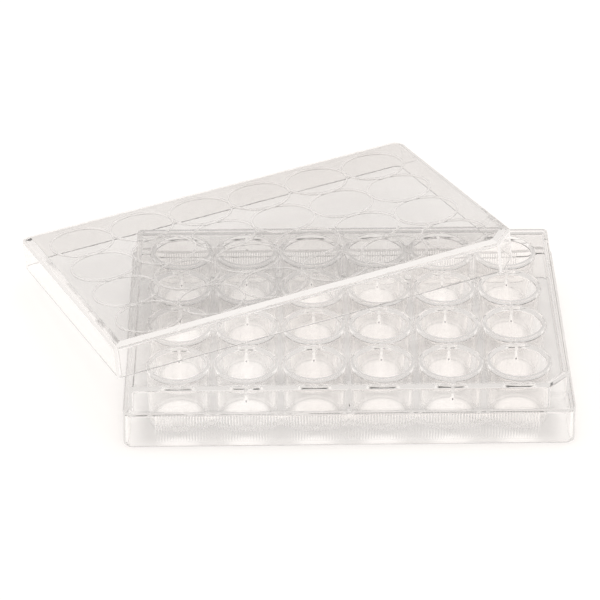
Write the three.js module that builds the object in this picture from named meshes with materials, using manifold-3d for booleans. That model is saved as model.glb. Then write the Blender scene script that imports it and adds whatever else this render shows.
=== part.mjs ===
// A clear 24-well culture plate with its lid lying askew on top of it.
// Two mouldings: the plate, with its wells, deck, webs and grip skirt in one piece, and the loose lid.
// Millimetres, +Z up. The plate stands level on z = 0, its long side runs along X, its front faces -Y.

import * as THREE from 'three';
import { mergeVertices } from 'three/addons/utils/BufferGeometryUtils.js';
import Module from 'manifold-3d';

const wasm = await Module();
wasm.setup();

// ---- driving dimensions: the plate's outside ----
const footprintLength = 127.76;
const footprintWidth = 85.48;
const plateHeight = 19.3;
const skirtHeight = 11.2;
const skirtWall = 1.3;
const skirtDraft = 0.2;
const skirtCornerRadius = 3.0;

// ---- grip ribs along the skirt's long sides ----
const ribPitch = 0.82;
const ribDepth = 0.35;
const ribLand = 0.03;
const ribEndMargin = 9.7;
const ribTopMargin = 0.5;
const ribFootHeight = 2.0;

// ---- the narrower block above the ledge, with its one cut corner ----
const ledgeWidth = 1.94;
const ledgeThickness = 1.3;
const blockWall = 1.2;
const blockDraft = 0.15;
const blockCornerRadius = 1.5;
const blockCutCorner = 6.0;
const deckThickness = 1.6;
const deckDrop = 0.4;
const rimWidth = 1.1;

// ---- wells ----
const wellColumns = 6;
const wellRows = 4;
const wellGap = 1.2;
const endMargin = 4.64;
const sideMargin = 2.8;
const wellWall = 0.9;
const wellTaper = 0.35;
const wellFloorThickness = 1.1;
const wellFootClearance = 1.2;
const wellMouthBevel = 0.25;

// ---- webs under the deck ----
const middleWebThickness = 1.1;
const middleWebDepth = 5.8;
const middleWebReach = 2.4;
const middleWebFoot = 1.6;
const bridgeThickness = 1.0;
const bridgeDepth = 4.0;

// ---- lid ----
const lidClearance = 0.6;
const lidHeadroom = 0.4;
const lidWall = 1.0;
const lidDraft = 0.1;
const lidTopThickness = 1.4;
const lidBevelWidth = 2.6;
const lidBevelDrop = 0.8;
const lidBackCornerRadius = 3.1;
const lidFrontCornerRadius = 1.2;
const lidCutCorner = 7.0;
const lidRingClearance = 0.5;
const lidRingWidth = 0.55;
const lidRingHeight = 0.6;

// ---- how the lid lies on the plate ----
const lidTurn = THREE.MathUtils.degToRad(22.87);
const lidCornerOverhang = 2.5;
const lidCornerSetback = 3.85;
const restGap = 0.3;
const seatingRounds = 8;
const seatingTolerance = 1e-4;
const touchSpacing = 0.25;
const ringTolerance = 0.1;
const farAway = 1000;

// ---- smoothness of the round forms, and the spare length of the bodies that cut or join ----
const cornerSteps = 4;
const minCornerRadius = 0.3;
const wellSides = 20;
const ringSides = 20;
const cutterOverrun = 1.0;
const weldOverlap = 0.2;

// ---- sizes that follow ----
const blockLength = footprintLength - 2 * ledgeWidth;
const blockWidth = footprintWidth - 2 * ledgeWidth;
const deckTop = plateHeight - deckDrop;
const deckUnderside = deckTop - deckThickness;
const ledgeUnderside = skirtHeight - ledgeThickness;
const columnPitch = (blockLength - 2 * endMargin + wellGap) / wellColumns;
const rowPitch = (blockWidth - 2 * sideMargin + wellGap) / wellRows;
const wellRimRadius = (Math.min(columnPitch, rowPitch) - wellGap) / 2;
const wellMouthRadius = wellRimRadius - wellWall;
const wellFloorRadius = wellMouthRadius - wellTaper;
const wellFloorTop = wellFootClearance + wellFloorThickness;
const lidUnderside = plateHeight - skirtHeight + lidHeadroom;
const lidHeight = lidUnderside + lidTopThickness;
const lidRingRadius = wellRimRadius + lidRingClearance;

// A rounded rectangle as a list of points, anticlockwise from the front right corner. That corner is
// cut at 45 degrees when a cut is given.
function outline({ length, width, backRadius, frontRadius, cut = 0 }) {
  const halfLength = length / 2;
  const halfWidth = width / 2;
  const points = [];
  const roundCorner = (sideX, sideY, radius, startAngle) => {
    const x = sideX * (halfLength - radius);
    const y = sideY * (halfWidth - radius);
    for (let step = 0; step <= cornerSteps; step++) {
      const angle = startAngle + (step / cornerSteps) * (Math.PI / 2);
      points.push(new THREE.Vector2(x + radius * Math.cos(angle), y + radius * Math.sin(angle)));
    }
  };
  if (cut > 0) {
    points.push(new THREE.Vector2(halfLength - cut, -halfWidth));
    points.push(new THREE.Vector2(halfLength, -halfWidth + cut));
  } else {
    roundCorner(1, -1, frontRadius, -Math.PI / 2);
  }
  roundCorner(1, 1, backRadius, 0);
  roundCorner(-1, 1, backRadius, Math.PI / 2);
  roundCorner(-1, -1, frontRadius, Math.PI);
  return points;
}

// An outline drawn again a parallel distance further in, or further out when inset is negative.
function insetOutline(shape, inset) {
  return outline({
    length: shape.length - 2 * inset,
    width: shape.width - 2 * inset,
    backRadius: Math.max(shape.backRadius - inset, minCornerRadius),
    frontRadius: Math.max(shape.frontRadius - inset, minCornerRadius),
    cut: shape.cut ? Math.max(shape.cut - inset * (2 - Math.SQRT2), minCornerRadius) : 0,
  });
}

const skirtShape = {
  length: footprintLength,
  width: footprintWidth,
  backRadius: skirtCornerRadius,
  frontRadius: skirtCornerRadius,
};

const blockShape = {
  length: blockLength,
  width: blockWidth,
  backRadius: blockCornerRadius,
  frontRadius: blockCornerRadius,
  cut: blockCutCorner,
};

const lidShape = {
  length: blockLength + 2 * (lidClearance + lidWall),
  width: blockWidth + 2 * (lidClearance + lidWall),
  backRadius: lidBackCornerRadius,
  frontRadius: lidFrontCornerRadius,
  cut: lidCutCorner,
};

// A closed body through outlines of equal point count, each at its own height, bottom first.
function loft(sections) {
  const count = sections[0].points.length;
  const positions = [];
  const indices = [];
  for (const { points, z } of sections) {
    for (const point of points) {
      positions.push(point.x, point.y, z);
    }
  }
  for (let level = 0; level + 1 < sections.length; level++) {
    for (let i = 0; i < count; i++) {
      const next = (i + 1) % count;
      const low = level * count;
      const high = low + count;
      indices.push(low + i, low + next, high + next);
      indices.push(low + i, high + next, high + i);
    }
  }
  const top = (sections.length - 1) * count;
  for (const [a, b, c] of THREE.ShapeUtils.triangulateShape(sections[0].points, [])) {
    indices.push(c, b, a);
  }
  for (const [a, b, c] of THREE.ShapeUtils.triangulateShape(sections.at(-1).points, [])) {
    indices.push(top + a, top + b, top + c);
  }
  const geometry = new THREE.BufferGeometry();
  geometry.setAttribute('position', new THREE.Float32BufferAttribute(positions, 3));
  geometry.setIndex(indices);
  return toSolid(geometry);
}

// A body turned about the upright axis from a profile of [radius, height] pairs.
function turned(profile, sides) {
  const points = profile.map(([radius, height]) => new THREE.Vector2(radius, height));
  const geometry = new THREE.LatheGeometry(points, sides);
  geometry.rotateX(Math.PI / 2);
  return toSolid(geometry);
}

function box(length, width, height, x, y, z) {
  const geometry = new THREE.BoxGeometry(length, width, height);
  geometry.translate(x, y, z);
  return toSolid(geometry);
}

function toSolid(geometry) {
  geometry.deleteAttribute('normal');
  geometry.deleteAttribute('uv');
  const merged = mergeVertices(geometry);
  const vertProperties = new Float32Array(merged.attributes.position.array);
  const triVerts = new Uint32Array(merged.index.array);
  return new wasm.Manifold(new wasm.Mesh({ numProp: 3, vertProperties, triVerts }));
}

function toGeometry(solid) {
  const mesh = solid.getMesh();
  const geometry = new THREE.BufferGeometry();
  geometry.setAttribute('position', new THREE.Float32BufferAttribute(mesh.vertProperties, 3));
  geometry.setIndex(Array.from(mesh.triVerts));
  geometry.computeVertexNormals();
  return geometry;
}

function joined(solids) {
  return solids.reduce((whole, solid) => whole.add(solid));
}

const columnX = (column) => (column - (wellColumns - 1) / 2) * columnPitch;
const rowY = (row) => (row - (wellRows - 1) / 2) * rowPitch;

function atEachWell(solid) {
  const copies = [];
  for (let row = 0; row < wellRows; row++) {
    for (let column = 0; column < wellColumns; column++) {
      copies.push(solid.translate([columnX(column), rowY(row), 0]));
    }
  }
  return joined(copies);
}

// ---- plate ----

function plateShell() {
  const skirt = loft([
    { points: insetOutline(skirtShape, 0), z: 0 },
    { points: insetOutline(skirtShape, skirtDraft), z: skirtHeight },
  ]);
  const block = loft([
    { points: insetOutline(blockShape, -blockDraft), z: ledgeUnderside },
    { points: insetOutline(blockShape, 0), z: plateHeight },
  ]);
  const skirtHollow = loft([
    { points: insetOutline(skirtShape, skirtWall), z: -cutterOverrun },
    { points: insetOutline(skirtShape, skirtWall + skirtDraft), z: ledgeUnderside },
  ]);
  const blockHollow = loft([
    { points: insetOutline(blockShape, blockWall - blockDraft), z: -cutterOverrun },
    { points: insetOutline(blockShape, blockWall), z: deckUnderside },
  ]);
  return skirt.add(block).subtract(skirtHollow.add(blockHollow));
}

function wellBodies() {
  return atEachWell(turned([
    [0, wellFootClearance],
    [wellFloorRadius + wellWall, wellFootClearance],
    [wellRimRadius, plateHeight],
    [0, plateHeight],
  ], wellSides));
}

function wellHollows() {
  return atEachWell(turned([
    [0, wellFloorTop],
    [wellFloorRadius, wellFloorTop],
    [wellMouthRadius, plateHeight - wellMouthBevel],
    [wellMouthRadius + wellMouthBevel, plateHeight],
    [wellMouthRadius + wellMouthBevel, plateHeight + cutterOverrun],
    [0, plateHeight + cutterOverrun],
  ], wellSides));
}

// The deck lies a little lower than the rim round its edge and the ring round each well.
function deckRecess() {
  const floor = loft([
    { points: insetOutline(blockShape, rimWidth), z: deckTop },
    { points: insetOutline(blockShape, rimWidth), z: plateHeight + cutterOverrun },
  ]);
  const rings = atEachWell(turned([
    [0, deckTop - cutterOverrun],
    [wellRimRadius, deckTop - cutterOverrun],
    [wellRimRadius, plateHeight + 2 * cutterOverrun],
    [0, plateHeight + 2 * cutterOverrun],
  ], wellSides));
  return floor.subtract(rings);
}

// A web hangs from the deck between two points of the plan.
function web(x1, y1, x2, y2, thickness, depth) {
  const height = depth + weldOverlap;
  const length = Math.abs(x2 - x1) || thickness;
  const width = Math.abs(y2 - y1) || thickness;
  const top = deckUnderside + weldOverlap;
  return box(length, width, height, (x1 + x2) / 2, (y1 + y2) / 2, top - height / 2);
}

// Bridges join each well to the next one in its column. The second column from each end is joined to the
// block's long walls as well.
function bridges() {
  const parts = [];
  for (let column = 0; column < wellColumns; column++) {
    const x = columnX(column);
    for (let row = 0; row + 1 < wellRows; row++) {
      const start = rowY(row) + wellFloorRadius;
      const end = rowY(row + 1) - wellFloorRadius;
      parts.push(web(x, start, x, end, bridgeThickness, bridgeDepth));
    }
  }
  const outerWellY = rowY(wellRows - 1) + wellFloorRadius;
  const wallY = (blockWidth - blockWall) / 2;
  for (const x of [columnX(1), columnX(wellColumns - 2)]) {
    for (const side of [-1, 1]) {
      parts.push(web(x, side * outerWellY, x, side * wallY, bridgeThickness, bridgeDepth));
    }
  }
  return joined(parts);
}

// Two webs stiffen the middle of each long side: one hangs from the deck against the block's wall, and the
// other stands lower down against the skirt.
function middleWebs() {
  const parts = [];
  for (const side of [-1, 1]) {
    const wallY = side * (blockWidth - blockWall) / 2;
    const innerY = wallY - side * (blockWall / 2 + middleWebReach);
    parts.push(web(0, innerY, 0, wallY, middleWebThickness, middleWebDepth));
    const skirtY = side * (footprintWidth - skirtWall) / 2;
    const height = ledgeUnderside + weldOverlap - middleWebFoot;
    const width = skirtWall / 2 + middleWebReach;
    parts.push(box(middleWebThickness, width, height, 0, skirtY - (side * width) / 2, middleWebFoot + height / 2));
  }
  return joined(parts);
}

// The grip ribs are what is left between V-shaped grooves, which get shallower towards the skirt's foot.
// A section of the front side's grooves has its valleys sunk by a given depth below the skirt's face.
function grooveSection(sink, z) {
  const count = Math.floor((footprintLength - 2 * ribEndMargin) / ribPitch);
  const face = -footprintWidth / 2 + (skirtDraft * z) / skirtHeight;
  const crest = face + sink - ribDepth - ribLand;
  const left = (-count * ribPitch) / 2;
  const points = [
    new THREE.Vector2(left, face - cutterOverrun),
    new THREE.Vector2(-left, face - cutterOverrun),
    new THREE.Vector2(-left, crest),
  ];
  for (let rib = count - 1; rib >= 0; rib--) {
    points.push(new THREE.Vector2(left + (rib + 0.5) * ribPitch, face + sink));
    points.push(new THREE.Vector2(left + rib * ribPitch, crest));
  }
  return { points, z };
}

function gripGrooves() {
  const front = loft([
    grooveSection(-ribLand, ribFootHeight),
    grooveSection(ribDepth, skirtHeight - ribTopMargin),
  ]);
  return front.add(front.rotate([0, 0, 180]));
}

function wellPlate() {
  const body = plateShell().add(wellBodies()).add(bridges()).add(middleWebs());
  return body.subtract(deckRecess()).subtract(wellHollows()).subtract(gripGrooves());
}

// ---- lid, modelled with its skirt's lower edge on z = 0 ----

function lid() {
  const outside = loft([
    { points: insetOutline(lidShape, -lidDraft), z: 0 },
    { points: insetOutline(lidShape, 0), z: lidHeight - lidBevelDrop },
    { points: insetOutline(lidShape, lidBevelWidth), z: lidHeight },
  ]);
  const hollow = loft([
    { points: insetOutline(lidShape, lidWall - lidDraft), z: -cutterOverrun },
    { points: insetOutline(lidShape, lidWall), z: lidUnderside },
  ]);
  const inner = lidRingRadius - lidRingWidth / 2;
  const outer = lidRingRadius + lidRingWidth / 2;
  const ringFoot = lidUnderside - lidRingHeight;
  const ringRoot = lidUnderside + weldOverlap;
  const rings = atEachWell(turned([
    [inner, ringFoot],
    [outer, ringFoot],
    [outer, ringRoot],
    [inner, ringRoot],
    [inner, ringFoot],
  ], ringSides));
  return outside.subtract(hollow).add(rings);
}

// ---- how the lid comes to rest ----

function within(outlinePoints, x, y) {
  return outlinePoints.every((start, i) => {
    const end = outlinePoints[(i + 1) % outlinePoints.length];
    return (end.x - start.x) * (y - start.y) - (end.y - start.y) * (x - start.x) >= 0;
  });
}

function alongOutline(outlinePoints, spacing) {
  return outlinePoints.flatMap((start, i) => {
    const end = outlinePoints[(i + 1) % outlinePoints.length];
    const count = Math.ceil(start.distanceTo(end) / spacing);
    return Array.from({ length: count }, (_, step) => start.clone().lerp(end, step / count));
  });
}

const rimOutline = insetOutline(blockShape, 0);
const lidFootOutline = insetOutline(lidShape, -lidDraft);
const lidHollowOutline = insetOutline(lidShape, lidWall - lidDraft);
const ringBand = lidRingWidth / 2 + ringTolerance;
const wellCentres = Array.from({ length: wellRows * wellColumns }, (_, well) => (
  new THREE.Vector2(columnX(well % wellColumns), rowY(Math.floor(well / wellColumns)))
));

// How far the lid reaches down at a point of its own plan: to the foot of its skirt, the foot of a ring
// or its plain underside. Beyond the skirt there is nothing.
function lidReach(x, y) {
  if (!within(lidFootOutline, x, y)) {
    return Infinity;
  }
  if (!within(lidHollowOutline, x, y)) {
    return 0;
  }
  const onRing = wellCentres.some((centre) => (
    Math.abs(Math.hypot(x - centre.x, y - centre.y) - lidRingRadius) < ringBand
  ));
  return onRing ? lidUnderside - lidRingHeight : lidUnderside;
}

// Every place where the two pieces could touch, and the lift that the lid needs there.
function touchPlaces(mesh) {
  const toLid = mesh.matrixWorld.clone().invert();
  const up = new THREE.Vector3(0, 0, 1).applyQuaternion(mesh.quaternion);
  const needed = plateHeight + restGap;
  const places = [];
  for (const rim of alongOutline(rimOutline, touchSpacing)) {
    const inLid = new THREE.Vector3(rim.x, rim.y, plateHeight).applyMatrix4(toLid);
    const reach = lidReach(inLid.x, inLid.y);
    if (reach < Infinity) {
      const height = plateHeight + (reach - inLid.z) / up.z;
      places.push({ x: rim.x, y: rim.y, lift: needed - height });
    }
  }
  const addLidPoint = (x, y, z) => {
    const point = new THREE.Vector3(x, y, z).applyMatrix4(mesh.matrixWorld);
    if (within(rimOutline, point.x, point.y)) {
      places.push({ x: point.x, y: point.y, lift: needed - point.z });
    }
  };
  for (const edge of [lidFootOutline, lidHollowOutline]) {
    for (const { x, y } of alongOutline(edge, touchSpacing)) {
      addLidPoint(x, y, 0);
    }
  }
  for (const centre of wellCentres) {
    for (let side = 0; side < ringSides; side++) {
      const angle = (side / ringSides) * 2 * Math.PI;
      const radius = lidRingRadius + lidRingWidth / 2;
      const x = centre.x + radius * Math.cos(angle);
      const y = centre.y + radius * Math.sin(angle);
      addLidPoint(x, y, lidUnderside - lidRingHeight);
    }
  }
  return places;
}

// The plane through three places, as [slope along x, slope along y, level].
function liftPlane([a, b, c]) {
  const system = new THREE.Matrix3().set(a.x, a.y, 1, b.x, b.y, 1, c.x, c.y, 1);
  return new THREE.Vector3(a.lift, b.lift, c.lift).applyMatrix3(system.invert());
}

// A body comes to rest on the three places whose triangle holds its centre and above whose plane no
// other place stands out. Starting from a far, deep triangle, the place that stands out most takes the
// turn of the corner that it can replace with the centre still inside.
function restingPlane(places, centre) {
  let carriers = [0, 1, 2].map((corner) => {
    const angle = (corner / 3) * 2 * Math.PI;
    const x = centre.x + farAway * Math.cos(angle);
    const y = centre.y + farAway * Math.sin(angle);
    return { x, y, lift: -farAway };
  });
  for (let turn = 0; turn < places.length; turn++) {
    const plane = liftPlane(carriers);
    const outstanding = ({ x, y, lift }) => lift - (plane.x * x + plane.y * y + plane.z);
    const highest = places.reduce((best, place) => (
      outstanding(place) > outstanding(best) ? place : best
    ));
    if (outstanding(highest) < seatingTolerance) {
      break;
    }
    const candidates = carriers.map((_, i) => carriers.with(i, highest));
    carriers = candidates.find((triangle) => holds(triangle, centre));
  }
  return liftPlane(carriers);
}

function holds([a, b, c], point) {
  const side = (p, q) => Math.sign((q.x - p.x) * (point.y - p.y) - (q.y - p.y) * (point.x - p.x));
  const sides = [side(a, b), side(b, c), side(c, a)];
  return !(sides.includes(1) && sides.includes(-1));
}

// Lays the lid on the plate, turned and shifted as given, at the tilt at which it comes to rest.
function seatLid(mesh) {
  const turn = new THREE.Quaternion().setFromAxisAngle(new THREE.Vector3(0, 0, 1), lidTurn);
  const corner = new THREE.Vector3(-lidShape.length / 2, -lidShape.width / 2, 0).applyQuaternion(turn);
  const slope = new THREE.Vector2();
  mesh.position.x = -blockLength / 2 - lidCornerOverhang - corner.x;
  mesh.position.y = -blockWidth / 2 + lidCornerSetback - corner.y;
  mesh.position.z = plateHeight;
  for (let round = 0; round < seatingRounds; round++) {
    const up = new THREE.Vector3(-slope.x, -slope.y, 1).normalize();
    mesh.quaternion.setFromUnitVectors(new THREE.Vector3(0, 0, 1), up).multiply(turn);
    mesh.updateMatrixWorld(true);
    const centre = new THREE.Vector3(0, 0, lidUnderside).applyMatrix4(mesh.matrixWorld);
    const change = restingPlane(touchPlaces(mesh), centre);
    slope.x += change.x;
    slope.y += change.y;
    mesh.position.z += change.x * mesh.position.x + change.y * mesh.position.y + change.z;
  }
}

// ---- the object ----

const clearPlastic = new THREE.MeshStandardMaterial({
  name: 'clear_polystyrene',
  color: 0xe6e9e8,
  roughness: 0.06,
  metalness: 0,
  transparent: true,
  opacity: 0.35,
});

function namedMesh(name, solid) {
  const mesh = new THREE.Mesh(toGeometry(solid), clearPlastic.clone());
  mesh.name = name;
  return mesh;
}

const plateMesh = namedMesh('well_plate', wellPlate());
const lidMesh = namedMesh('lid', lid());
seatLid(lidMesh);

const object = new THREE.Group();
object.add(plateMesh, lidMesh);

// The origin is under the middle of the box round both pieces, at the table.
const bounds = new THREE.Box3().setFromObject(object, true);
const middle = bounds.getCenter(new THREE.Vector3());
object.position.set(-middle.x, -middle.y, -bounds.min.z);
object.updateMatrixWorld(true);

export default object;
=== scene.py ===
"""A clear culture plate with its lid lying askew on it, as fine meshes in studio light.

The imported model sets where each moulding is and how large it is. The two mouldings are made again
here with round corners, soft edges and fine grip ribs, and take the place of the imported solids.
Sizes of the mouldings are in millimetres, and a mesh is turned into metres when it is finished.
"""

import logging
import math
from dataclasses import dataclass, field
from enum import Enum
from typing import Iterable, Mapping, Sequence

import bmesh
import bpy
from mathutils import Matrix, Vector


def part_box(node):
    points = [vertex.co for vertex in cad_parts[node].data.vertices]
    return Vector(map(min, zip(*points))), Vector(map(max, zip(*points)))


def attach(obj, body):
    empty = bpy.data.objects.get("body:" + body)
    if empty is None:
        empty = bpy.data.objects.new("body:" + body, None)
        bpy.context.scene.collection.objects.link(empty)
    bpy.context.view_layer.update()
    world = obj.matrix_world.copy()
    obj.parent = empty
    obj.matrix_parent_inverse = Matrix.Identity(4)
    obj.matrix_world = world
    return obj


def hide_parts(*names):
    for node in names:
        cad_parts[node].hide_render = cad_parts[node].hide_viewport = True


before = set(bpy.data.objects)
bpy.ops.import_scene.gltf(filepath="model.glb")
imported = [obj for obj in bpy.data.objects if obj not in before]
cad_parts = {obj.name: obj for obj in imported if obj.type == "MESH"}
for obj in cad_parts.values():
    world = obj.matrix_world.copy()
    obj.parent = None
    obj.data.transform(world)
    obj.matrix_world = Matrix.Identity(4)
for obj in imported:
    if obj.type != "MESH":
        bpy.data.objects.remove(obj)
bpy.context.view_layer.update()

logging.basicConfig(level=logging.INFO, format="%(message)s")
log = logging.getLogger("culture_plate")

METRES_PER_MM = 0.001

Point = tuple[float, float]
Corner = tuple[float, float] | tuple[float, float, float]
Web = tuple[float, float, float]
Loop = list[bmesh.types.BMVert]
Colour = tuple[float, float, float]
Socket = bpy.types.NodeSocket

WARM_WHITE: Colour = (1.0, 0.962, 0.932)


class Slot(Enum):
    """The record's material slots."""

    PLATE = "plate_plastic"
    LID = "lid_plastic"


# ---------- Outlines, profiles and the solids made from them ----------

# How many parts a round corner and a fillet have.
CORNER_STEPS = 10
FILLET_STEPS = 5
SMALLEST_RADIUS = 0.15

# The cut corner: its angle in degrees, how much its legs shorten with an inset, and the share of
# its leg that rounds its two edges.
CUT_ANGLE = 45.0
CUT_SHRINK = 2 - math.sqrt(2)
CUT_EDGE_SHARE = 0.12

# A web's foot, as a share of its upper edge.
FOOT_SHARE = 0.5

# How far a cutter runs past the face that it cuts, and a body into the one that it joins.
OVERRUN = 1.0
WELD = 0.2

# Points nearer than this are one, in a profile and in a finished mesh.
SAME_POINT = 1e-6
MERGE_DISTANCE = 0.0005


def arc_points(
    x: float, y: float, radius: float, start: float, sweep: float, steps: int
) -> list[Point]:
    """List points along an arc.

    Args:
        x: The centre's first coordinate.
        y: The centre's second coordinate.
        radius: The arc's radius.
        start: The first angle, in degrees.
        sweep: The angle gone through, in degrees.
        steps: How many parts the arc has.

    Returns:
        The points, both ends included.
    """
    angles = [math.radians(start + sweep * step / steps) for step in range(steps + 1)]
    return [(x + radius * math.cos(a), y + radius * math.sin(a)) for a in angles]


def rounded(corners: Sequence[Corner]) -> list[Point]:
    """Round the corners of an open profile.

    Args:
        corners: Corners as (across, up, radius), or as (across, up) where they are sharp.

    Returns:
        The profile's points, with no point given twice in a row.
    """
    made: list[Point] = []
    for i, (across, up, *radius) in enumerate(corners):
        corner = Vector((across, up))
        points = [corner]
        if radius:
            back = Vector(corners[i - 1][:2]) - corner
            ahead = Vector(corners[i + 1][:2]) - corner
            reach = radius[0] / math.tan(back.angle(ahead) / 2)
            start = corner + back.normalized() * reach
            end = corner + ahead.normalized() * reach
            shares = [step / FILLET_STEPS for step in range(FILLET_STEPS + 1)]
            points = [
                start * (1 - t) ** 2 + corner * (2 * t * (1 - t)) + end * t**2 for t in shares
            ]
        for point in points:
            if not made or (point - Vector(made[-1])).length > SAME_POINT:
                made.append((point.x, point.y))
    return made


@dataclass(frozen=True)
class Outline:
    """A rectangle with round corners, and its front right corner cut off where cut is set."""

    length: float
    width: float
    back_radius: float
    front_radius: float
    cut: float = 0.0

    def inset(self, distance: float) -> "Outline":
        """Draw the outline again a parallel distance further in.

        Args:
            distance: How far in. A negative distance goes out.

        Returns:
            The new outline.
        """
        return Outline(
            length=self.length - 2 * distance,
            width=self.width - 2 * distance,
            back_radius=max(self.back_radius - distance, SMALLEST_RADIUS),
            front_radius=max(self.front_radius - distance, SMALLEST_RADIUS),
            cut=max(self.cut - distance * CUT_SHRINK, SMALLEST_RADIUS) if self.cut else 0.0,
        )

    def points(self) -> list[Point]:
        """List the outline's points.

        Returns:
            The points, anticlockwise from the front right corner.
        """
        plain = self._corner(1, -1, self.front_radius, -90.0)
        front_right = self._cut_corner() if self.cut else plain
        back_right = self._corner(1, 1, self.back_radius, 0.0)
        back_left = self._corner(-1, 1, self.back_radius, 90.0)
        front_left = self._corner(-1, -1, self.front_radius, 180.0)
        return front_right + back_right + back_left + front_left

    def _corner(self, side_x: int, side_y: int, radius: float, start: float) -> list[Point]:
        """Round the corner on the given sides, -1 or 1, from an angle in degrees."""
        x, y = side_x * (self.length / 2 - radius), side_y * (self.width / 2 - radius)
        return arc_points(x, y, radius, start, 90.0, CORNER_STEPS)

    def _cut_corner(self) -> list[Point]:
        """Cut the front right corner, with its two edges a little rounded.

        Returns:
            The corner's points.
        """
        right = self.length / 2
        front = -self.width / 2
        radius = self.cut * CUT_EDGE_SHARE
        reach = radius * math.tan(math.radians(CUT_ANGLE / 2))
        steps = CORNER_STEPS // 2
        low_x = right - self.cut - reach
        high_y = front + self.cut + reach
        low = arc_points(low_x, front + radius, radius, -90.0, CUT_ANGLE, steps)
        high = arc_points(right - radius, high_y, radius, -CUT_ANGLE, CUT_ANGLE, steps)
        return low + high


def show(name: str, data: bpy.types.ID) -> bpy.types.Object:
    """Put a mesh, a lamp or a camera into the scene, as an object of the given name."""
    made = bpy.data.objects.new(name, data)
    bpy.context.scene.collection.objects.link(made)
    return made


class Solid:
    """A closed mesh under construction, in millimetres, that others are joined to or cut from."""

    def __init__(self, name: str, mesh: bmesh.types.BMesh) -> None:
        """Turn a bmesh into an object.

        Args:
            name: The object's name.
            mesh: The closed mesh, which is used up.
        """
        data = bpy.data.meshes.new(name)
        mesh.to_mesh(data)
        mesh.free()
        self.object = show(name, data)

    def join(self, other: "Solid") -> "Solid":
        """Add another solid to this one."""
        return self._combine(other, "UNION")

    def cut(self, other: "Solid") -> "Solid":
        """Take another solid away from this one."""
        return self._combine(other, "DIFFERENCE")

    def _combine(self, other: "Solid", operation: str) -> "Solid":
        """Apply a boolean with another solid, and remove that solid.

        Args:
            other: The solid to join or to cut by.
            operation: The boolean modifier's operation.

        Returns:
            This solid, changed.
        """
        modifier = self.object.modifiers.new(operation.title(), "BOOLEAN")
        modifier.operation = operation
        modifier.solver = "MANIFOLD"
        modifier.object = other.object
        depsgraph = bpy.context.evaluated_depsgraph_get()
        made = bpy.data.meshes.new_from_object(self.object.evaluated_get(depsgraph))
        self.object.modifiers.clear()
        used = (self.object.data, other.object.data)
        self.object.data = made
        bpy.data.objects.remove(other.object)
        for data in used:
            bpy.data.meshes.remove(data)
        return self

    def finish(self, name: str, pose: Matrix) -> bpy.types.Object:
        """Clean the mesh, set which of its edges are smooth, and put it in its place.

        Args:
            name: The finished object's name.
            pose: The moulding's place, in metres.

        Returns:
            The finished object.
        """
        mesh = bmesh.new()
        mesh.from_mesh(self.object.data)
        bmesh.ops.remove_doubles(mesh, verts=mesh.verts, dist=MERGE_DISTANCE)
        bmesh.ops.dissolve_degenerate(mesh, edges=mesh.edges, dist=MERGE_DISTANCE)
        bmesh.ops.triangulate(mesh, faces=mesh.faces)
        Shading().apply(mesh)
        mesh.transform(pose @ Matrix.Scale(METRES_PER_MM, 4))
        mesh.to_mesh(self.object.data)
        open_edges = sum(not edge.is_manifold for edge in mesh.edges)
        log.info("%s: %d triangles, %d open edges", name, len(mesh.faces), open_edges)
        mesh.free()
        self.object.name = name
        self.object.data.name = name
        return self.object


@dataclass(frozen=True)
class Shading:
    """Which edges of a moulding are smooth.

    Broad flat faces keep their own normals, so that nothing bends what is seen through them, and
    the narrow strips of a round wall share theirs. Areas are in square millimetres.
    """

    smooth_angle: float = math.radians(12.0)
    flat_angle: float = math.radians(0.3)
    broad_area: float = 30.0

    def apply(self, mesh: bmesh.types.BMesh) -> None:
        """Mark every face smooth, and every edge smooth or sharp.

        Args:
            mesh: The moulding's mesh, which is changed.
        """
        area = self._patch_areas(mesh)
        for face in mesh.faces:
            face.smooth = True
        for edge in mesh.edges:
            if not edge.is_manifold:
                edge.smooth = False
                continue
            angle = edge.calc_face_angle(math.pi)
            broad = max(area[face.index] for face in edge.link_faces) > self.broad_area
            edge.smooth = angle < self.flat_angle or (angle < self.smooth_angle and not broad)

    def _patch_areas(self, mesh: bmesh.types.BMesh) -> dict[int, float]:
        """Find the area of the flat patch that each face belongs to.

        Args:
            mesh: The moulding's mesh.

        Returns:
            The patch's area, by the index of each face.
        """
        mesh.faces.index_update()
        found: dict[int, float] = {}
        for seed in mesh.faces:
            if seed.index in found:
                continue
            patch = {seed.index: seed}
            waiting = [seed]
            while waiting:
                for edge in waiting.pop().edges:
                    if edge.is_manifold and edge.calc_face_angle(math.pi) <= self.flat_angle:
                        beyond = [face for face in edge.link_faces if face.index not in patch]
                        patch.update((face.index, face) for face in beyond)
                        waiting += beyond
            total = sum(face.calc_area() for face in patch.values())
            found.update(dict.fromkeys(patch, total))
        return found


def skin(mesh: bmesh.types.BMesh, low: Loop, high: Loop) -> None:
    """Join a loop of points to the one above it.

    Args:
        mesh: The mesh that takes the faces.
        low: The lower loop, anticlockwise from above.
        high: The upper loop, of as many points.
    """
    for i in range(len(low)):
        j = (i + 1) % len(low)
        mesh.faces.new((low[i], low[j], high[j], high[i]))


def cap(mesh: bmesh.types.BMesh, low: Loop, high: Loop) -> None:
    """Close a body at its lowest and at its highest loop."""
    mesh.faces.new(list(reversed(low)))
    mesh.faces.new(high)


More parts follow.
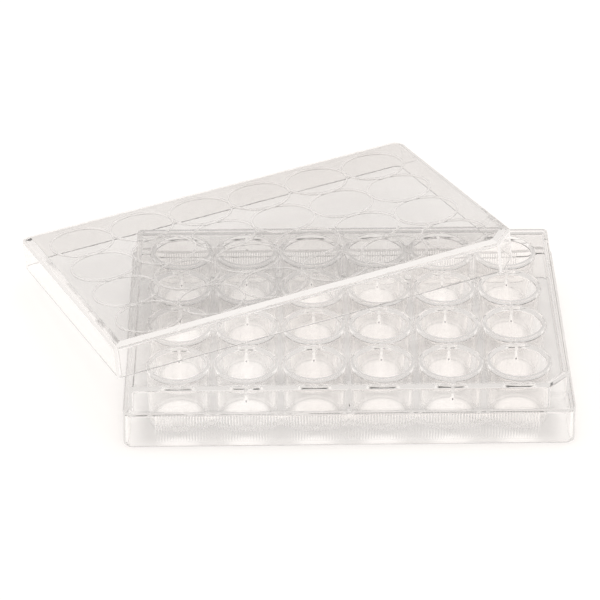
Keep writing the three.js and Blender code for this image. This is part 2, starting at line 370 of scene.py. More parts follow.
def loft(name: str, outline: Outline, corners: Sequence[Corner]) -> Solid:
    """Skin a closed body up a profile of parallel outlines.

    Args:
        name: The body's name.
        outline: The outline that the profile's insets are measured from.
        corners: The profile's corners as (inset, height, radius), from the lowest up.

    Returns:
        The solid.
    """
    mesh = bmesh.new()
    loops = [
        [mesh.verts.new((x, y, height)) for x, y in outline.inset(inset).points()]
        for inset, height in rounded(corners)
    ]
    for low, high in zip(loops, loops[1:]):
        skin(mesh, low, high)
    cap(mesh, loops[0], loops[-1])
    return Solid(name, mesh)


def turned(name: str, corners: Sequence[Corner], centres: Iterable[Point], sides: int) -> Solid:
    """Turn a profile about an upright axis at each centre.

    Args:
        name: The body's name.
        corners: The profile's corners as (radius, height, fillet), from the lowest up. The body is
            flat across its two ends, or it is a ring when the profile ends on its first point,
            going outwards along its bottom.
        centres: Where the axes stand.
        sides: How many parts a full turn has.

    Returns:
        One solid that holds a copy at each centre.
    """
    mesh = bmesh.new()
    profile = rounded(corners)
    ring_body = profile[0] == profile[-1]
    points = profile[:-1] if ring_body else profile
    turns = [2 * math.pi * side / sides for side in range(sides)]
    for x, y in centres:
        loops = []
        for radius, height in points:
            places = [(x + radius * math.cos(a), y + radius * math.sin(a), height) for a in turns]
            loops.append([mesh.verts.new(place) for place in places])
        pairs = list(zip(loops, loops[1:]))
        if ring_body:
            pairs.append((loops[-1], loops[0]))
        else:
            cap(mesh, loops[0], loops[-1])
        for low, high in pairs:
            skin(mesh, low, high)
    return Solid(name, mesh)


def prism(name: str, sections: Iterable[list[Point]], low: float, high: float) -> Solid:
    """Extrude plane sections upwards.

    Args:
        name: The body's name.
        sections: Closed outlines, anticlockwise, that don't overlap.
        low: The height of their lower ends.
        high: The height of their upper ends.

    Returns:
        One solid that holds them all.
    """
    mesh = bmesh.new()
    for section in sections:
        bottom, top = ([mesh.verts.new((x, y, z)) for x, y in section] for z in (low, high))
        skin(mesh, bottom, top)
        cap(mesh, bottom, top)
    return Solid(name, mesh)


def fins(name: str, places: Iterable[Web], thickness: float, low: float, high: float) -> Solid:
    """Make upright webs that run along Y, each tapering down to a round foot.

    Args:
        name: The body's name.
        places: Each web's x, and the y of its nearer and its farther end.
        thickness: The size across each web's upper edge.
        low: The height of the foot.
        high: The height of the upper edge.

    Returns:
        One solid that holds them all.
    """
    mesh = bmesh.new()
    half = thickness / 2
    foot = half * FOOT_SHARE
    section = [(half, high), (-half, high)]
    section += arc_points(0.0, low + foot, foot, 180.0, 180.0, FILLET_STEPS)
    for x, near, far in places:
        front, back = ([mesh.verts.new((x + dx, y, z)) for dx, z in section] for y in (near, far))
        for i in range(len(section)):
            j = (i + 1) % len(section)
            mesh.faces.new((front[j], front[i], back[i], back[j]))
        mesh.faces.new(front)
        mesh.faces.new(list(reversed(back)))
    return Solid(name, mesh)


# ---------- The wells' grid ----------


@dataclass(frozen=True)
class WellGrid:
    """The rows and columns of wells that the plate and its lid share."""

    columns: int = 6
    rows: int = 4
    pitch: float = 19.3
    rim_radius: float = 9.05

    def x(self, column: int) -> float:
        """Give a column's x."""
        return (column - (self.columns - 1) / 2) * self.pitch

    def y(self, row: int) -> float:
        """Give a row's y, from the front."""
        return (row - (self.rows - 1) / 2) * self.pitch

    def centres(self, remainders: Sequence[int] = (0, 1)) -> list[Point]:
        """List the wells' centres, row by row.

        Args:
            remainders: Which wells: 0 and 1 are the two halves of a chessboard, for forms that
                overlap their neighbours.

        Returns:
            The centres.
        """
        places = [(column, row) for row in range(self.rows) for column in range(self.columns)]
        return [(self.x(i), self.y(j)) for i, j in places if (i + j) % 2 in remainders]


# ---------- Surface effects ----------

NUMBER = "NodeSocketFloat"
COLOUR = "NodeSocketColor"

# Where the noise turns into haze, into dust and into a tint, and how much of its detail shows.
HAZE_EDGE = (0.45, 0.75)
DUST_EDGE = (0.68, 0.74)
TINT_EDGE = (0.35, 0.65)
RIPPLE_DETAIL = 1.0
PATCH_DETAIL = 2.0

# Where the painted light pools end: past the grid's edge in metres, round a well's middle as a
# share of the pitch, and where the painted shade behind the front walls fades, in metres from the
# middle.
GRID_EDGE = (-0.0015, 0.005)
PAINTED_POOL_EDGE = (0.24, 0.46)
PAINTED_SHADE_EDGE = (-0.018, -0.008)
CELL_MIDDLE = 0.5


class NodeTree:
    """A short way to add nodes and links to a node tree."""

    def __init__(self, tree: bpy.types.NodeTree) -> None:
        """Take the tree and empty it."""
        self.tree = tree
        tree.nodes.clear()

    def add(
        self, kind: str, given: Mapping[str, object] | Sequence[object] = (), **settings: object
    ) -> bpy.types.Node:
        """Add a node.

        Args:
            kind: The node's type name, without its ShaderNode prefix if it has one.
            given: What its inputs take, by their names or in their order: an output or a value.
            **settings: Properties to set on the node.

        Returns:
            The node.
        """
        name = kind if kind.startswith("NodeGroup") else f"ShaderNode{kind}"
        node = self.tree.nodes.new(name)
        for key, value in settings.items():
            setattr(node, key, value)
        for key, value in given.items() if isinstance(given, Mapping) else enumerate(given):
            if isinstance(value, Socket):
                self.tree.links.new(value, node.inputs[key])
            else:
                node.inputs[key].default_value = value
        return node

    def math(self, operation: str, *values: object) -> Socket:
        """Add a Math node that works on outputs or numbers."""
        return self.add("Math", values, operation=operation).outputs[0]

    def rise(self, value: Socket, low: float, high: float) -> Socket:
        """Ease a value from 0 at low to 1 at high."""
        given = {"Value": value, "From Min": low, "From Max": high}
        return self.add("MapRange", given, interpolation_type="SMOOTHSTEP").outputs["Result"]

    def fall(self, value: Socket, low: float, high: float) -> Socket:
        """Ease a value from 1 at low to 0 at high."""
        return self.math("SUBTRACT", 1.0, self.rise(value, low, high))

    def effect(self, group: bpy.types.ShaderNodeTree, given: Mapping[str, object]) -> Socket:
        """Place a node group with its own values, and give its output."""
        return self.add("Group", given, node_tree=group).outputs[0]

    def mix(self, share: Socket, first: Socket, second: Socket) -> Socket:
        """Mix two shaders by the second one's share."""
        return self.add("MixShader", (share, first, second)).outputs[0]


class EffectGroup(NodeTree):
    """A shader node group under construction, with named inputs and one output."""

    def __init__(
        self, name: str, inputs: Mapping[str, object], output: str, gives: str = NUMBER
    ) -> None:
        """Make the group and its sockets.

        Args:
            name: The group's name.
            inputs: Each input's name and its default, a number or a colour.
            output: The output's name.
            gives: The output's socket type.
        """
        super().__init__(bpy.data.node_groups.new(name, "ShaderNodeTree"))
        sockets = self.tree.interface
        for label, value in inputs.items():
            kind = NUMBER if isinstance(value, float) else COLOUR
            socket = sockets.new_socket(label, in_out="INPUT", socket_type=kind)
            socket.default_value = value
        sockets.new_socket(output, in_out="OUTPUT", socket_type=gives)
        self.given = self.add("NodeGroupInput").outputs
        self.result = self.add("NodeGroupOutput").inputs
        self.place = self.add("TexCoord").outputs["Object"]

    def noise(self, density: str, detail: float) -> Socket:
        """Add noise over the object, as dense as the named input says."""
        given = {"Vector": self.place, "Scale": self.given[density], "Detail": detail}
        return self.add("TexNoise", given).outputs["Fac"]

    def end(self, value: Socket) -> bpy.types.ShaderNodeTree:
        """Put a value out of the group, and give the finished group."""
        self.tree.links.new(value, self.result[0])
        return self.tree


def flow_ripple_group() -> bpy.types.ShaderNodeTree:
    """Build the unevenness that melt leaves in a moulded wall: long waves and a finer orange peel.

    Returns:
        A group that gives a height.
    """
    inputs = {"Waves per metre": 60.0, "Peel per metre": 600.0, "Peel share": 0.1}
    group = EffectGroup("Flow ripple", inputs, "Height")
    waves = group.noise("Waves per metre", RIPPLE_DETAIL)
    peel = group.noise("Peel per metre", RIPPLE_DETAIL)
    fine = group.math("MULTIPLY", peel, group.given["Peel share"])
    return group.end(group.math("ADD", waves, fine))


def haze_group() -> bpy.types.ShaderNodeTree:
    """Build the faint, patchy haze of handled polystyrene, with a few finer specks of dust.

    Returns:
        A group that gives a roughness.
    """
    inputs = {"Polish": 0.02, "Haze": 0.03, "Patches per metre": 35.0, "Specks per metre": 1400.0}
    group = EffectGroup("Haze", inputs, "Roughness")
    soft = group.rise(group.noise("Patches per metre", PATCH_DETAIL), *HAZE_EDGE)
    dusty = group.rise(group.noise("Specks per metre", PATCH_DETAIL), *DUST_EDGE)
    added = group.math("MULTIPLY", group.math("MAXIMUM", soft, dusty), group.given["Haze"])
    return group.end(group.math("ADD", group.given["Polish"], added))


def tint_group() -> bpy.types.ShaderNodeTree:
    """Build the slow drift of tint across a clear wall.

    Returns:
        A group that gives a colour between two tints.
    """
    white = (1.0, 1.0, 1.0, 1.0)
    inputs = {"Thin": white, "Thick": white, "Patches per metre": 22.0}
    group = EffectGroup("Tint drift", inputs, "Colour", COLOUR)
    drift = group.rise(group.noise("Patches per metre", PATCH_DETAIL), *TINT_EDGE)
    mix = group.add("Mix", {"Factor": drift}, data_type="RGBA")
    colours = [socket for socket in mix.inputs if socket.type == "RGBA"]
    for label, socket in zip(("Thin", "Thick"), colours):
        group.tree.links.new(group.given[label], socket)
    return group.end(next(socket for socket in mix.outputs if socket.type == "RGBA"))


def painted_light_pool_group() -> bpy.types.ShaderNodeTree:
    """Paint pools of light and shade that clear wells would throw on the table under them.

    Returns:
        A group that gives a gain of the table's glow: 1 away from the wells, more in a painted
        pool of light thrown a little behind the middle of each well, and less between the pools as
        painted shade, least of all behind the front walls.
    """
    names = ("Pitch", "Half length", "Half width", "Bright", "Dim", "Front dim", "Throw")
    group = EffectGroup("Painted light pools", dict.fromkeys(names, 1.0), "Gain")
    given = group.given
    x, y, _ = group.add("SeparateXYZ", (group.place,)).outputs
    thrown = group.math("SUBTRACT", y, given["Throw"])
    squares, inside = [], []
    for place, along, half in ((x, x, given["Half length"]), (y, thrown, given["Half width"])):
        cell = group.math("FRACT", group.math("DIVIDE", along, given["Pitch"]))
        squares.append(group.math("POWER", group.math("SUBTRACT", cell, CELL_MIDDLE), 2.0))
        beyond = group.math("SUBTRACT", group.math("ABSOLUTE", place), half)
        inside.append(group.fall(beyond, *GRID_EDGE))
    # Painted pools of light round each well's middle, and painted shade between them and behind the
    # front walls.
    pool = group.fall(group.math("SQRT", group.math("ADD", *squares)), *PAINTED_POOL_EDGE)
    shade = group.fall(y, *PAINTED_SHADE_EDGE)
    lost = group.math("MULTIPLY", shade, group.math("SUBTRACT", given["Dim"], given["Front dim"]))
    dim = group.math("SUBTRACT", given["Dim"], lost)
    lift = group.math("MULTIPLY", pool, group.math("SUBTRACT", given["Bright"], dim))
    change = group.math("SUBTRACT", group.math("ADD", lift, dim), 1.0)
    change = group.math("MULTIPLY", change, group.math("MULTIPLY", *inside))
    return group.end(group.math("ADD", change, 1.0))


@dataclass
class Effects:
    """The node groups that the finishes share, each built once."""

    ripple: bpy.types.ShaderNodeTree = field(default_factory=flow_ripple_group)
    haze: bpy.types.ShaderNodeTree = field(default_factory=haze_group)
    tint: bpy.types.ShaderNodeTree = field(default_factory=tint_group)


@dataclass(frozen=True)
class ClearPlastic:
    """The finish of a clear injection moulding. The ripple's height is in metres."""

    name: str
    thin_tint: Colour = (1.0, 0.998, 0.996)
    thick_tint: Colour = (0.975, 0.968, 0.963)
    refraction: float = 1.59
    polish: float = 0.012
    haze: float = 0.02
    waves: float = 55.0
    ripple_height: float = 0.00002
    most_bounces: int = 10
    most_reflections: int = 2
    # A painted glow, at the mean light trapped in a wall, where a ray has bounced too often.
    painted_mean_glow: float = 0.78

    def build(self, effects: Effects) -> bpy.types.Material:
        """Make the material.

        Args:
            effects: The node groups that the finishes share.

        Returns:
            The material.
        """
        material = bpy.data.materials.new(self.name)
        material.use_nodes = True
        nodes = NodeTree(material.node_tree)
        tints = {"Thin": (*self.thin_tint, 1.0), "Thick": (*self.thick_tint, 1.0)}
        height = nodes.effect(effects.ripple, {"Waves per metre": self.waves})
        bump = nodes.add("Bump", {"Distance": self.ripple_height, "Height": height})
        own = nodes.add("BsdfPrincipled", {
            "Base Color": nodes.effect(effects.tint, tints),
            "Roughness": nodes.effect(effects.haze, {"Polish": self.polish, "Haze": self.haze}),
            "IOR": self.refraction,
            "Transmission Weight": 1.0,
            "Normal": bump.outputs["Normal"],
        })
        surface = self._let_lamps_through(nodes, self._end_long_chains(nodes, own.outputs[0]))
        nodes.add("OutputMaterial", {"Surface": surface})
        return material

    def _end_long_chains(self, nodes: NodeTree, plastic: Socket) -> Socket:
        """End long chains of bounces in a painted glow, at the mean light inside the moulding.

        Args:
            nodes: The material's nodes.
            plastic: The plastic's own shader.

        Returns:
            The shader.
        """
        path = nodes.add("LightPath").outputs
        long = nodes.math("GREATER_THAN", path["Ray Depth"], self.most_bounces)
        trapped = nodes.math("GREATER_THAN", path["Glossy Depth"], self.most_reflections)
        # A painted glow, not a lamp, that stands in for the light trapped in the wall.
        glow = nodes.add("Emission", {"Color": (*WARM_WHITE, 1.0), "Strength": self.painted_mean_glow})
        return nodes.mix(nodes.math("MAXIMUM", long, trapped), plastic, glow.outputs[0])

    def _let_lamps_through(self, nodes: NodeTree, plastic: Socket) -> Socket:
        """Let light straight through to the table, and from the table straight out.

        Both faces of a wall take the same share from a straight ray. The Fresnel node turns its
        index over on the inner face, and the power turns it back.

        Args:
            nodes: The material's nodes.
            plastic: The plastic's shader.

        Returns:
            The shader.
        """
        inner = nodes.add("NewGeometry").outputs["Backfacing"]
        power = nodes.math("SUBTRACT", 1.0, nodes.math("MULTIPLY", inner, 2.0))
        fresnel = nodes.add("Fresnel", {"IOR": nodes.math("POWER", self.refraction, power)})
        passed = nodes.math("SUBTRACT", 1.0, fresnel.outputs[0])
        clear = nodes.add("BsdfTransparent", {"Color": passed}).outputs[0]
        path = nodes.add("LightPath").outputs
        from_table = nodes.math("GREATER_THAN", path["Diffuse Depth"], 0.0)
        share = nodes.math("MAXIMUM", path["Is Shadow Ray"], from_table)
        return nodes.mix(share, plastic, clear)


# ---------- The mouldings ----------


@dataclass
class Moulding:
    """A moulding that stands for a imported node, as large as that node and in its place."""

    length: float
    width: float
    height: float
    pose: Matrix
    name: str
    node: str
    slot: Slot
    finish: ClearPlastic
    grid: WellGrid = WellGrid()

    def body(self) -> Solid:
        """Make the whole mesh."""
        raise NotImplementedError

    def build(self, effects: Effects) -> bpy.types.Object:
        """Make the moulding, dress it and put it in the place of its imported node.

        Args:
            effects: The node groups that the finishes share.

        Returns:
            The finished piece.
        """
        piece = self.body().finish(self.name, self.pose)
        piece.data.materials.clear()
        piece.data.materials.append(self.finish.build(effects))
        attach(piece, "root")
        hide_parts(self.node)
        return piece


@dataclass
class Plate(Moulding):
    """The plate: grip skirt, ledge, narrower block, deck, wells and the webs under the deck."""

    name: str = "plate_moulding"
    node: str = "well_plate"
    slot: Slot = Slot.PLATE
    finish: ClearPlastic = ClearPlastic("plate_polystyrene")

    skirt_height: float = 11.2
    skirt_wall: float = 1.3
    skirt_draft: float = 0.2
    skirt_radius: float = 3.0
    ledge_width: float = 1.94
    ledge_thickness: float = 1.3
    block_wall: float = 1.2
    block_draft: float = 0.15
    block_radius: float = 1.5
    block_cut: float = 6.0
    deck_thickness: float = 1.6
    deck_drop: float = 0.4
    rim_width: float = 1.1
    edge_radius: float = 0.25
    corner_fillet: float = 0.6

    front_fillet: float = 0.3
    row_fillet: float = 0.6
    fillet_flare: float = 1.1
    well_wall: float = 0.9
    well_taper: float = 0.35
    well_floor: float = 1.1
    foot_clearance: float = 1.2
    floor_fillet: float = 1.4
    foot_radius: float = 1.0
    lip_radius: float = 0.25
    well_sides: int = 72

    web_thickness: float = 1.1
    web_depth: float = 5.8
    web_reach: float = 2.4
    web_foot: float = 1.6
    bridge_thickness: float = 1.0
    bridge_depth: float = 4.0

    rib_pitch: float = 0.82
    rib_depth: float = 0.34
    groove_share: float = 0.96
    ribs_left: float = -54.7
    ribs_right: float = 53.5
    ribs_low: float = 1.6
    rib_steps: int = 4

    @classmethod
    def from_frame(cls) -> "Plate":
        """Take the plate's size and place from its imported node.

        Returns:
            The plate.
        """
        low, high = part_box("well_plate")
        size = (high - low) / METRES_PER_MM
        place = Matrix.Translation(((low.x + high.x) / 2, (low.y + high.y) / 2, low.z))
        return cls(length=size.x, width=size.y, height=size.z, pose=place)

    @property
    def skirt_outline(self) -> Outline:
        """The skirt's outline at its foot."""
        return Outline(self.length, self.width, self.skirt_radius, self.skirt_radius)

    @property
    def block_outline(self) -> Outline:
        """The block's outline at its rim."""
        length = self.length - 2 * self.ledge_width
        width = self.width - 2 * self.ledge_width
        return Outline(length, width, self.block_radius, self.block_radius, self.block_cut)

    @property
    def deck_top(self) -> float:
        """The height of the deck."""
        return self.height - self.deck_drop

    @property
    def deck_underside(self) -> float:
        """The height of the deck's lower face."""
        return self.deck_top - self.deck_thickness

    @property
    def ledge_underside(self) -> float:
        """The height of the ledge's lower face."""
        return self.skirt_height - self.ledge_thickness

    @property
    def mouth_radius(self) -> float:
        """A well's radius inside its mouth."""
        return self.grid.rim_radius - self.well_wall

    @property
    def floor_radius(self) -> float:
        """A well's radius inside, at its floor."""
        return self.mouth_radius - self.well_taper

    def body(self) -> Solid:
        """Make the whole mesh: the shell first, and the wells before their hollows.

        Returns:
            The mesh.
        """
        body = self._shell()
        body.cut(self._recess())
        body.join(self._bridges())
        under, ledge = self.deck_underside, self.ledge_underside
        block = (self.block_outline.width, self.block_wall, under - self.web_depth, under)
        body.join(self._side_webs("middle webs", *block))
        body.join(self._side_webs("skirt webs", self.width, self.skirt_wall, self.web_foot, ledge))
        front = self.grid.y(0)
        for remainder in (0, 1):
            half = self.grid.centres((remainder,))
            front_row = [place for place in half if place[1] == front]
            body.join(self._well_bodies(front_row, self.front_fillet))
            rows_behind = [place for place in half if place[1] > front]
            body.join(self._well_bodies(rows_behind, self.row_fillet))
        body.cut(self._well_hollows())
        for side in (-1, 1):
            body.cut(self._grooves(side))
        return body

    def _shell(self) -> Solid:
        """Make the skirt, ledge and block, open below.

        Returns:
            The shell.
        """
        edge = self.edge_radius
        ledge_low = self.ledge_underside
        deep = self.ledge_width + 2 * edge
        skirt = loft("skirt", self.skirt_outline, [
            (self.skirt_wall / 2, 0.0),
            (0.0, 0.0, edge),
            (self.skirt_draft, self.skirt_height, edge),
            (deep, self.skirt_height),
        ])
        block = loft("block", self.block_outline, [
            (-self.block_draft, ledge_low + WELD),
            (0.0, self.height, edge),
            (self.rim_width / 2, self.height),
        ])
        skirt_hollow = loft("skirt hollow", self.skirt_outline, [
            (self.skirt_wall - edge, -OVERRUN),
            (self.skirt_wall - edge, 0.0),
            (self.skirt_wall, edge),
            (self.skirt_wall + self.skirt_draft, ledge_low, 2 * edge),
            (deep + self.skirt_wall, ledge_low),
        ])
        block_hollow = loft("block hollow", self.block_outline, [
            (self.block_wall - self.block_draft, ledge_low - WELD),
            (self.block_wall, self.deck_underside, self.corner_fillet),
            (2 * self.block_wall, self.deck_underside),
        ])
        return skirt.join(block).cut(skirt_hollow.join(block_hollow))

    def _recess(self) -> Solid:
        """Make what sinks the deck below the rim round it.

        Returns:
            The cutter.
        """
        edge = self.edge_radius / 2
        corners = [
            (self.rim_width, self.deck_top),
            (self.rim_width, self.height, edge),
            (self.rim_width - edge, self.height),
            (self.rim_width - edge, self.height + OVERRUN),
        ]
        return loft("recess", self.block_outline, corners)

    def _well_bodies(self, centres: Iterable[Point], fillet: float) -> Solid:
        """Make the outsides of some wells, up to the ring that stands above the deck.

        Args:
            centres: Where the wells are. Neighbours are made apart, as their fillets meet.
            fillet: The radius under the deck.

        Returns:
            The wells' bodies.
        """
        foot = self.foot_clearance
        inside = self.mouth_radius / 2
        rim = self.grid.rim_radius
        under = self.deck_underside
        flare = rim + fillet * self.fillet_flare
        corners = [
            (inside, foot),
            (self.floor_radius + self.well_wall, foot, self.foot_radius),
            (rim, under, fillet),
            (flare, under),
            (flare, under + WELD),
            (rim, under + WELD),
            (rim, self.height, self.lip_radius / 2),
            (inside, self.height),
        ]
        return turned("well bodies", corners, centres, self.well_sides)

    def _well_hollows(self) -> Solid:
        """Make the wells' insides, flat at the floor and eased at the mouth.

        Returns:
            The cutters.
        """
        floor = self.foot_clearance + self.well_floor
        inside = self.mouth_radius / 2
        corners = [
            (inside, floor),
            (self.floor_radius, floor, self.floor_fillet),
            (self.mouth_radius, self.height, self.lip_radius),
            (self.mouth_radius + self.lip_radius, self.height),
            (self.mouth_radius + self.lip_radius, self.height + OVERRUN),
            (inside, self.height + OVERRUN),
        ]
        return turned("well hollows", corners, self.grid.centres(), self.well_sides)

    def _bridges(self) -> Solid:
        """Make the webs that join the wells of a column, and two of the columns to the walls.

        Returns:
            The webs.
        """
        grid = self.grid
        wall = self.block_outline.width / 2 - self.block_wall / 2
        back = grid.y(grid.rows - 1)
        reach = self.floor_radius
        places = [(x, y + reach, y + grid.pitch - reach) for x, y in grid.centres() if y < back]
        for x in (grid.x(1), grid.x(grid.columns - 2)):
            places += [(x, -wall, -(back + reach)), (x, back + reach, wall)]
        low = self.deck_underside - self.bridge_depth
        return fins("bridges", places, self.bridge_thickness, low, self.deck_underside + WELD)

    def _side_webs(self, name: str, width: float, wall: float, low: float, high: float) -> Solid:
        """Make a web at the middle of each long side of a shell.

        Args:
            name: The webs' name.
            width: The shell's width.
            wall: The shell's thickness.
            low: The height of the webs' feet.
            high: The height of the face that they hang from.

        Returns:
            The webs.
        """
        root = width / 2 - wall / 2
        tip = root - wall / 2 - self.web_reach
        places = [(0.0, -root, -tip), (0.0, tip, root)]
        return fins(name, places, self.web_thickness, low, high + WELD)

    def _grooves(self, side: int) -> Solid:
        """Make the grooves between the grip ribs of one long side.

        Args:
            side: -1 for the front, 1 for the back.

        Returns:
            The grooves' cutters.
        """
        count = round((self.ribs_right - self.ribs_left) / self.rib_pitch)
        face = self.width / 2 - self.skirt_draft
        half = self.rib_pitch / 2
        outer = -(face + OVERRUN)
        sections = []
        for i in range(count):
            middle = self.ribs_left + (i + 0.5) * self.rib_pitch
            curve = []
            for step in range(self.rib_steps + 1):
                share = step / self.rib_steps
                across = (2 * share - 1) * half * self.groove_share
                depth = self.rib_depth * math.sin(math.pi * share)
                curve.append((middle + across, -(face - depth)))
            section = [(curve[0][0], outer), (curve[-1][0], outer)] + list(reversed(curve))
            if side > 0:
                section = [(x, -y) for x, y in reversed(section)]
            sections.append(section)
        return prism("grooves", sections, self.ribs_low, self.skirt_height - self.edge_radius * 2)


# How far an upright face of the tilted lid may lean along the lid's own up.
UPRIGHT_LEAN = 0.1


@dataclass
class Lid(Moulding):
    """The lid: a shallow tray upside down, with a bevelled top edge and a ring over each well."""

    name: str = "lid_moulding"
    node: str = "lid"
    slot: Slot = Slot.LID
    # The lid's painted glow for trapped light is brighter than the plate's.
    finish: ClearPlastic = ClearPlastic("lid_polystyrene", painted_mean_glow=0.95)

    wall: float = 1.0
    draft: float = 0.1
    top_thickness: float = 1.4
    bevel_width: float = 2.6
    bevel_drop: float = 0.8
    back_radius: float = 3.1
    front_radius: float = 1.2
    cut: float = 7.0
    edge_radius: float = 0.2
    foot_edge: float = 0.1
    ring_clearance: float = 0.5
    ring_width: float = 0.55
    ring_height: float = 0.6
    ring_edge: float = 0.16
    ring_sides: int = 72

    @classmethod
    def from_frame(cls) -> "Lid":
        """Take the lid's size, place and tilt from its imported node.

        The broadest face that looks up is its top, and the broadest upright one is a long side.

        Returns:
            The lid.
        """
        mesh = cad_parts["lid"].data
        top = max(mesh.polygons, key=lambda face: face.area * (face.normal.z > 0))
        up = top.normal.copy()
        upright = [face for face in mesh.polygons if abs(face.normal.dot(up)) < UPRIGHT_LEAN]
        back = max(upright, key=lambda face: face.area).normal.copy()
        back = (back - up * back.dot(up)).normalized()
        if back.y < 0:
            back = -back
        right = back.cross(up)
        spans = []
        for axis in (right, back, up):
            along = [vertex.co.dot(axis) for vertex in mesh.vertices]
            spans.append((min(along), max(along)))
        middle = right * sum(spans[0]) / 2 + back * sum(spans[1]) / 2 + up * spans[2][0]
        pose = Matrix.Translation(middle) @ Matrix((right, back, up)).transposed().to_4x4()
        length, width, height = ((high - low) / METRES_PER_MM for low, high in spans)
        foot = 2 * cls.draft
        return cls(length=length - foot, width=width - foot, height=height, pose=pose)

    @property
    def outline(self) -> Outline:
        """The lid's outline below its bevel."""
        return Outline(self.length, self.width, self.back_radius, self.front_radius, self.cut)

    @property
    def underside(self) -> float:
        """The height of the panel's lower face above the skirt's foot."""
        return self.height - self.top_thickness

    def body(self) -> Solid:
        """Make the whole mesh."""
        return self._tray().join(self._rings(0)).join(self._rings(1))

    def _tray(self) -> Solid:
        """Make the panel with its bevelled edge and its skirt.

        Returns:
            The tray.
        """
        edge = self.edge_radius
        outside = loft("tray", self.outline, [
            (self.wall / 2, 0.0),
            (-self.draft, 0.0, self.foot_edge),
            (0.0, self.height - self.bevel_drop, edge),
            (self.bevel_width, self.height, edge),
            (2 * self.bevel_width, self.height),
        ])
        inner = self.wall - self.draft
        hollow = loft("tray hollow", self.outline, [
            (inner - self.foot_edge, -OVERRUN),
            (inner - self.foot_edge, 0.0),
            (inner, self.foot_edge),
            (self.wall, self.underside, 2 * edge),
            (self.wall + self.bevel_width, self.underside),
        ])
        return outside.cut(hollow)

    def _rings(self, remainder: int) -> Solid:
        """Make half of the beads under the panel that keep each well's vapour to itself.

        Args:
            remainder: 0 or 1, for the two halves of the chessboard. A ring crosses its neighbours.

        Returns:
            The rings.
        """
        middle = self.grid.rim_radius + self.ring_clearance
        inner = middle - self.ring_width / 2
        outer = middle + self.ring_width / 2
        root = self.underside + WELD
        foot = self.underside - self.ring_height
        corners = [
            (inner, root),
            (inner, foot, self.ring_edge),
            (outer, foot, self.ring_edge),
            (outer, root),
            (inner, root),
        ]
        return turned("rings", corners, self.grid.centres((remainder,)), self.ring_sides)


# ---------- Studio ----------


def direction(azimuth: float, elevation: float) -> Vector:
    """Point away from the object.

    Args:
        azimuth: Degrees from +Y towards +X.
        elevation: Degrees above the floor.

    Returns:
        A unit vector.
    """
    turn, rise = math.radians(azimuth), math.radians(elevation)
    level = math.cos(rise)
    return Vector((math.sin(turn) * level, math.cos(turn) * level, math.sin(rise)))


@dataclass(frozen=True)
class Softbox:
    """A rectangular lamp that faces the object, and isn't seen in the plastic or through it."""

    name: str = "top_softbox"
    azimuth: float = 0.0
    elevation: float = 88.0
    distance: float = 1.6
    width: float = 1.2
    height: float = 1.2
    radiance: float = 5.1

    def build(self, target: Vector) -> None:
        """Hang the lamp.

        Args:
            target: The point that it faces, in metres.
        """
        data = bpy.data.lights.new(self.name, "AREA")
        data.shape = "RECTANGLE"
        data.color = WARM_WHITE
        data.size = self.width
        data.size_y = self.height
        data.energy = self.radiance * math.pi * self.width * self.height
        lamp = show(self.name, data)
        away = direction(self.azimuth, self.elevation)
        lamp.location = target + away * self.distance
        lamp.rotation_euler = away.to_track_quat("Z", "Y").to_euler()
        lamp.visible_glossy = False
        lamp.visible_transmission = False
        log.info("lamp %s", self.name)


@dataclass(frozen=True)
class Room:
    """The white tent round the table, dim below its hem, through its door and at its roof's hole.

    Azimuths are in degrees from +Y towards +X, and elevations in degrees above the floor.
    """

    brightness: float = 1.0
    door_reach: float = 25.0
    door_top: float = 42.0
    hem: float = 20.0
    roof: float = 66.0
    softness: float = 6.0
    opening_brightness: float = 0.12

    def build(self) -> None:
        """Set the world's light."""
        world = bpy.data.worlds.new("room")
        world.use_nodes = True
        bpy.context.scene.world = world
        nodes = NodeTree(world.node_tree)
        toward = nodes.add("TexCoord").outputs["Generated"]
        side, ahead, up = nodes.add("SeparateXYZ", (toward,)).outputs
        azimuth = nodes.math("ABSOLUTE", nodes.math("ARCTAN2", side, ahead))
        elevation = nodes.math("ARCSINE", up)
        beside_door = nodes.rise(azimuth, *self._edge(self.door_reach))
        above_door = nodes.rise(elevation, *self._edge(self.door_top))
        above_hem = nodes.rise(elevation, *self._edge(self.hem))
        below_roof = nodes.fall(elevation, *self._edge(self.roof))
        past_door = nodes.math("MAXIMUM", beside_door, above_door)
        walls = nodes.math("MINIMUM", above_hem, below_roof)
        lit = nodes.math("MINIMUM", past_door, walls)
        gain = nodes.math("MULTIPLY", lit, self.brightness - self.opening_brightness)
        strength = nodes.math("ADD", gain, self.opening_brightness)
        glow = nodes.add("Background", {"Color": (*WARM_WHITE, 1.0), "Strength": strength})
        nodes.add("OutputWorld", {"Surface": glow.outputs[0]})

    def _edge(self, angle: float) -> Point:
        """Give where the soft edge at an angle starts and ends, in radians."""
        middle, soft = math.radians(angle), math.radians(self.softness)
        return middle - soft, middle + soft


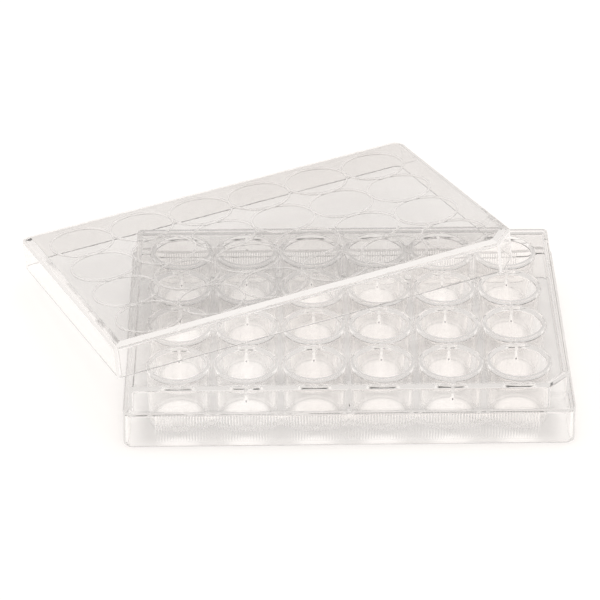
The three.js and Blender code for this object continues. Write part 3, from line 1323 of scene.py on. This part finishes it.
@dataclass
class Studio:
    """A white table in a white room, and a soft lamp over it. Lengths are in metres."""

    target: Vector
    grid: WellGrid
    room: Room = Room()
    softbox: Softbox = Softbox()
    table_size: float = 6.0
    table_gap: float = 0.00005
    table_colour: float = 0.85
    glow_share: float = 0.6
    # Levels of the painted light pools and painted shade on the table, and how far the pools are
    # thrown back.
    painted_pool_bright: float = 1.36
    painted_shade_level: float = 0.84
    painted_front_shade_level: float = 0.64
    painted_pool_throw: float = 0.003

    def build(self) -> None:
        """Set up the table, the room and the lamp."""
        self._table()
        self.room.build()
        self.softbox.build(self.target)

    def _table(self) -> None:
        """Lay the white table top, just clear of the plate's foot."""
        mesh = bmesh.new()
        bmesh.ops.create_grid(mesh, x_segments=1, y_segments=1, size=self.table_size / 2)
        data = bpy.data.meshes.new("table")
        mesh.to_mesh(data)
        mesh.free()
        table = show("table", data)
        table.location = (self.target.x, self.target.y, -self.table_gap)
        data.materials.append(self._table_paper())

    def _table_paper(self) -> bpy.types.Material:
        """Make the table's white paper, which glows wherever it is looked at.

        Under the plate, its glow carries painted pools of light and painted shade.

        Returns:
            The material.
        """
        material = bpy.data.materials.new("table_paper")
        material.use_nodes = True
        nodes = NodeTree(material.node_tree)
        pitch = self.grid.pitch * METRES_PER_MM
        pools = {
            "Pitch": pitch,
            "Half length": pitch * self.grid.columns / 2,
            "Half width": pitch * self.grid.rows / 2,
            "Bright": self.painted_pool_bright,
            "Dim": self.painted_shade_level,
            "Front dim": self.painted_front_shade_level,
            "Throw": self.painted_pool_throw,
        }
        # Painted light pools and painted shade, which scale the paper's glow.
        gain = nodes.effect(painted_light_pool_group(), pools)
        light = nodes.add("VectorMath", {"Vector": WARM_WHITE, "Scale": gain}, operation="SCALE")
        glow = nodes.add("Emission", {"Color": light.outputs["Vector"]})
        white = (self.table_colour,) * 3
        paper = nodes.add("BsdfDiffuse", {"Color": (*white, 1.0)})
        path = nodes.add("LightPath").outputs
        looked_at = nodes.math("MAXIMUM", path["Is Camera Ray"], path["Is Glossy Ray"])
        looked_at = nodes.math("MAXIMUM", looked_at, path["Is Transmission Ray"])
        share = nodes.math("MULTIPLY", looked_at, self.glow_share)
        surface = nodes.mix(share, paper.outputs[0], glow.outputs[0])
        nodes.add("OutputMaterial", {"Surface": surface})
        return material


@dataclass(frozen=True)
class Viewpoint:
    """Where the camera stands, in degrees and metres round its target, and its lens."""

    target: Vector
    azimuth: float = -0.526
    elevation: float = 33.295
    roll: float = -0.292
    distance: float = 0.84652
    lens: float = 170.58
    sensor: float = 36.0

    def build(self) -> None:
        """Make the camera and look through it."""
        away = direction(180.0 - self.azimuth, self.elevation)
        right = away.cross(Vector((0.0, 0.0, 1.0))) * -1.0
        right.normalize()
        up = away.cross(right)
        turn = Matrix((right, up, away)).transposed().to_4x4()
        data = bpy.data.cameras.new("camera")
        data.lens = self.lens
        data.sensor_width = self.sensor
        camera = show("camera", data)
        place = Matrix.Translation(self.target + away * self.distance)
        camera.matrix_world = place @ turn @ Matrix.Rotation(math.radians(self.roll), 4, "Z")
        bpy.context.scene.camera = camera


# ---------- Putting it together ----------

LOOK_FROM_PLATE = Vector((-13.195, 16.848, 10.0)) * METRES_PER_MM


def main() -> None:
    """Build the plate, the lid and the studio."""
    effects = Effects()
    plate = Plate.from_frame()
    for part in (plate, Lid.from_frame()):
        piece = part.build(effects)
        size = "%.2f x %.2f x %.2f mm" % (part.length, part.width, part.height)
        log.info("%s, %s, stands for %s", piece.name, size, part.node)
    centre = plate.pose.translation
    Studio(target=Vector((centre.x, centre.y, 0.0)), grid=plate.grid).build()
    Viewpoint(target=centre + LOOK_FROM_PLATE).build()
    bpy.context.scene.view_settings.view_transform = "Standard"


if __name__ == "__main__":
    main()
